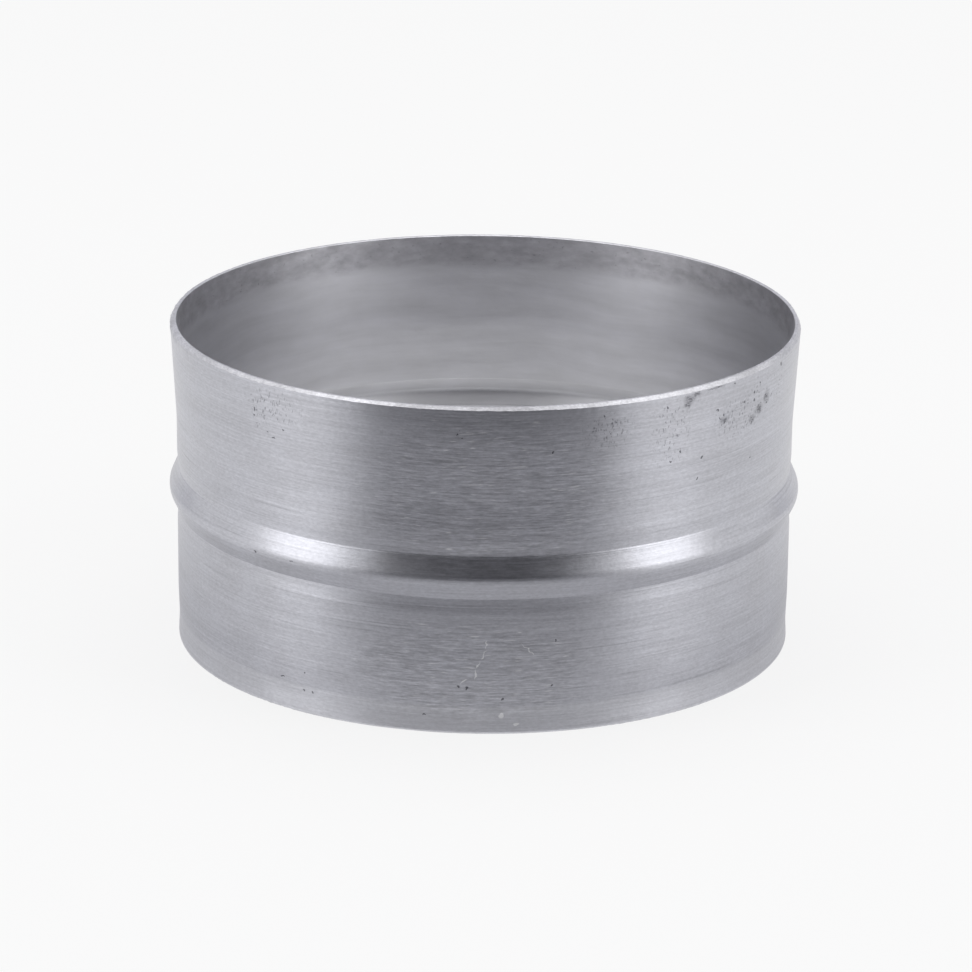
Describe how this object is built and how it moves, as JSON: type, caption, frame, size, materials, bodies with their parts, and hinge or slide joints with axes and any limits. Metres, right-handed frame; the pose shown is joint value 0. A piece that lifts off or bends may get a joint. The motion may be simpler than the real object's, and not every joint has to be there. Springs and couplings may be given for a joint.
{
  "type": "duct coupling",
  "caption": "Short round sheet-aluminium duct coupling with a hollow stop bead rolled round its middle, a slightly flared rim and a plain spigot below.",
  "frame": {"origin": "centre of the bottom end, on the surface that the coupling stands on", "axes": "+Z along the duct's axis, from the plain spigot towards the flared rim; -Y is the side that the picture shows"},
  "size_m": [0.1005, 0.1004, 0.052],
  "materials": {
    "bare_aluminium": "bare spun sheet with fine turning lines round the outside, a softer and slightly stained inside, light scuffs and small pits"
  },
  "bodies": {
    "root": {"coupling": "bare_aluminium"}
  },
  "joints": []
}
